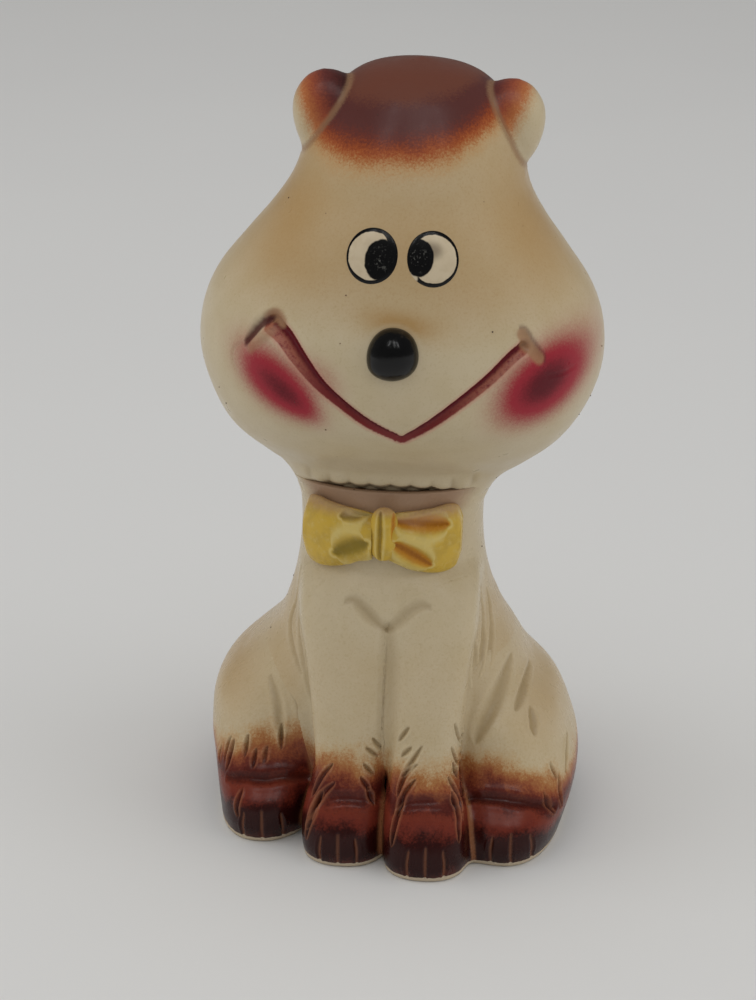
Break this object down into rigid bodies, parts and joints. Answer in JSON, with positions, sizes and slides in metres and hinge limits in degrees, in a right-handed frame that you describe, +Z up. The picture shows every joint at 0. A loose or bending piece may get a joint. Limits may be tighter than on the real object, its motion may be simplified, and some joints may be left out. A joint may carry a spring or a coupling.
{
  "type": "seated dog figurine",
  "caption": "Hollow glazed ceramic figurine of a seated cartoon dog with a big smiling head, round ears, crossed eyes, black nose and a yellow bow tie; stands free as an ornament.",
  "frame": {"origin": "on the surface the figurine stands on, under the neck", "axes": "+Z up through the head, +X towards the dog's left, and the dog faces -Y"},
  "size_m": [0.0845, 0.0839, 0.1659],
  "materials": {
    "cream_glaze": "clear gloss glaze over cream clay, with airbrushed brown paws",
    "brown_glaze": "airbrushed brown under clear glaze",
    "black_glaze": "brushed black, glossy",
    "white_glaze": "off-white with hand-painted black outline and pupil",
    "yellow_glaze": "brushed yellow that thins to olive in the folds",
    "bare_clay": "unglazed fired clay, wiped clean where it stood on the kiln shelf"
  },
  "bodies": {
    "root": {"body_shell": "cream_glaze", "head_shell": "cream_glaze", "foot_slab": "bare_clay", "foreleg_left": "cream_glaze", "foreleg_right": "cream_glaze", "hind_leg_left": "cream_glaze", "hind_leg_right": "cream_glaze", "tail": "brown_glaze", "ear_left": "brown_glaze", "ear_right": "brown_glaze", "nose": "black_glaze", "eye_left": "white_glaze", "eye_right": "white_glaze", "bow_loop_left": "yellow_glaze", "bow_loop_right": "yellow_glaze", "bow_knot": "yellow_glaze"}
  },
  "joints": []
}
